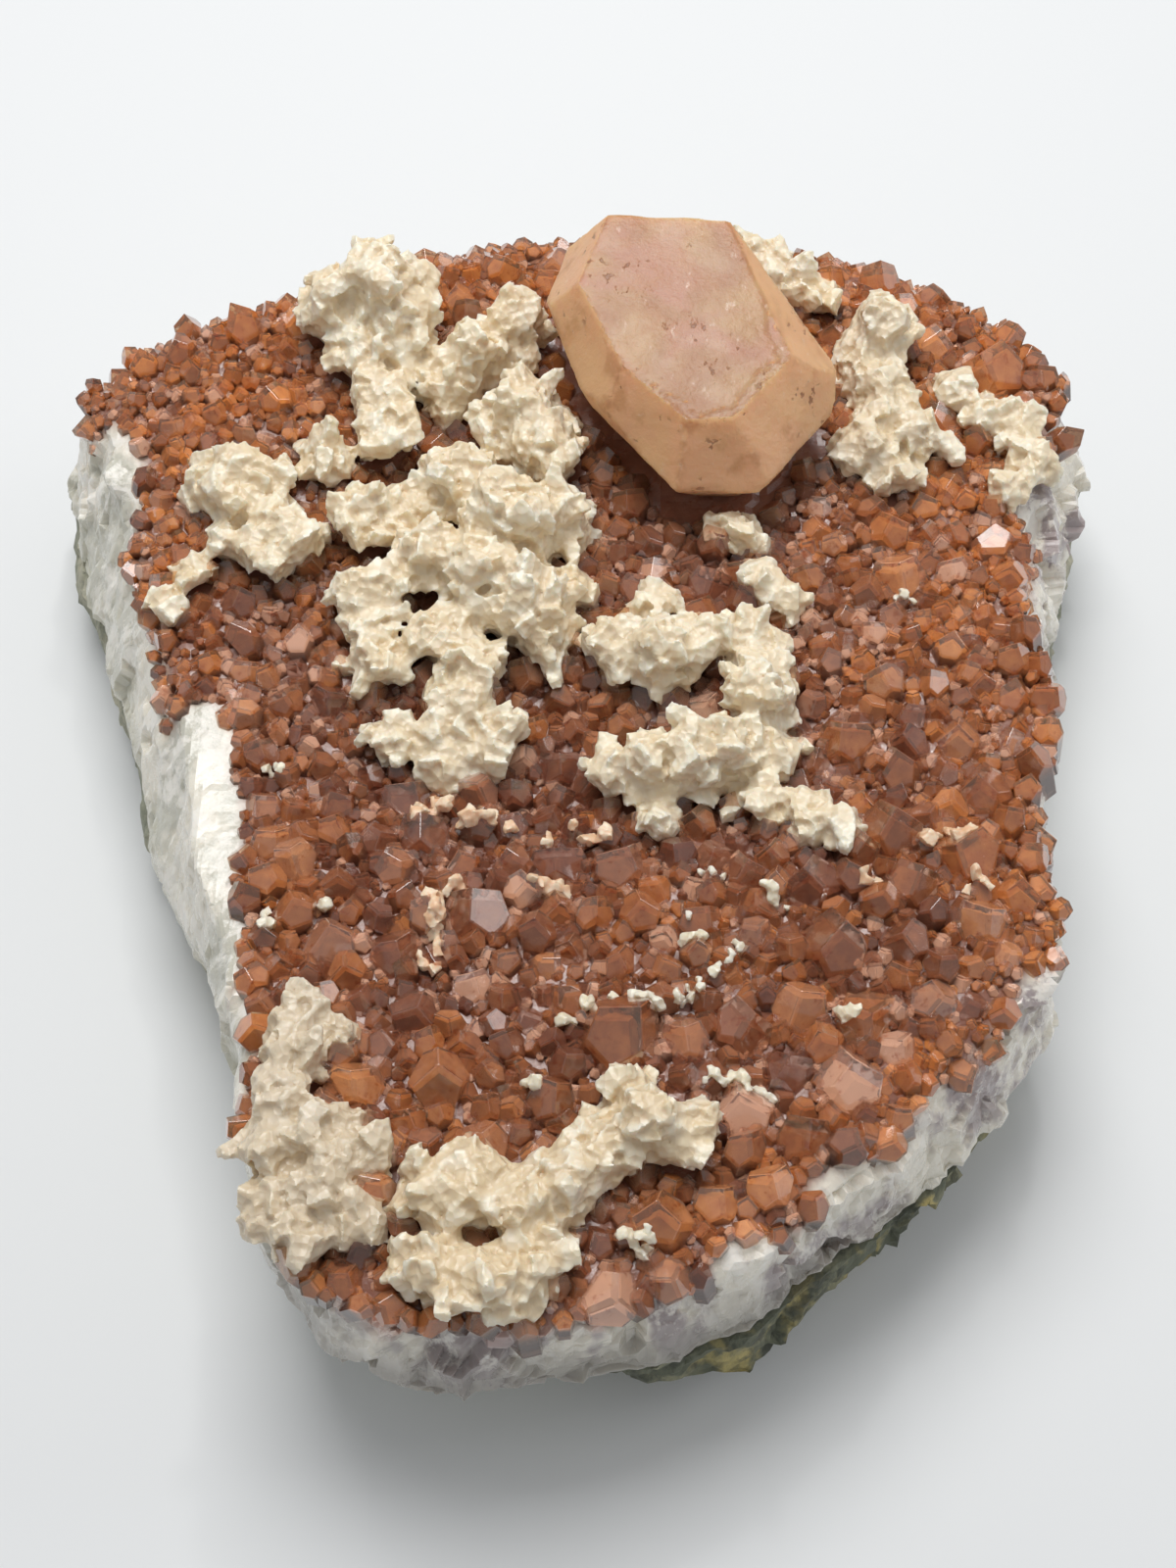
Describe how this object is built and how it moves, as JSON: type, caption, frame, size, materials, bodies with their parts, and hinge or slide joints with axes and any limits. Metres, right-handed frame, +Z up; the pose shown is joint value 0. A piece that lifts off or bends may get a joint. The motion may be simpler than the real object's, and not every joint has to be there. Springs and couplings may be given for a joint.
{
  "type": "hematoid quartz specimen",
  "caption": "Broken plate of dark host rock with a pale quartz seam, a crust of red quartz points, ridges of cream dolomite and one large peach calcite crystal.",
  "frame": {"origin": "on the flat underside, below the middle of the plate", "axes": "+Z up out of the crystal crust, +Y along the plate's length towards its wide end, which carries the calcite, and +X to the right seen from the narrow end"},
  "size_m": [0.1752, 0.1943, 0.0634],
  "materials": {
    "host_rock": "rough broken rock, grey-green with black and ochre patches",
    "red_quartz": "glassy faces over iron-red quartz, milky white where broken",
    "calcite": "waxy translucent peach with fine pits",
    "dolomite": "pearly cream rhombs"
  },
  "bodies": {
    "root": {"host_rock": "host_rock", "quartz_crust": "red_quartz", "calcite_crystal": "calcite", "dolomite_back_ridge": "dolomite", "dolomite_left_block": "dolomite", "dolomite_main_ridge": "dolomite", "dolomite_right_ridge": "dolomite", "dolomite_small_lump": "dolomite", "dolomite_under_calcite": "dolomite", "dolomite_right_cluster": "dolomite", "dolomite_right_chain": "dolomite", "dolomite_back_lump": "dolomite", "dolomite_front_left": "dolomite", "dolomite_front_arc": "dolomite"}
  },
  "joints": []
}
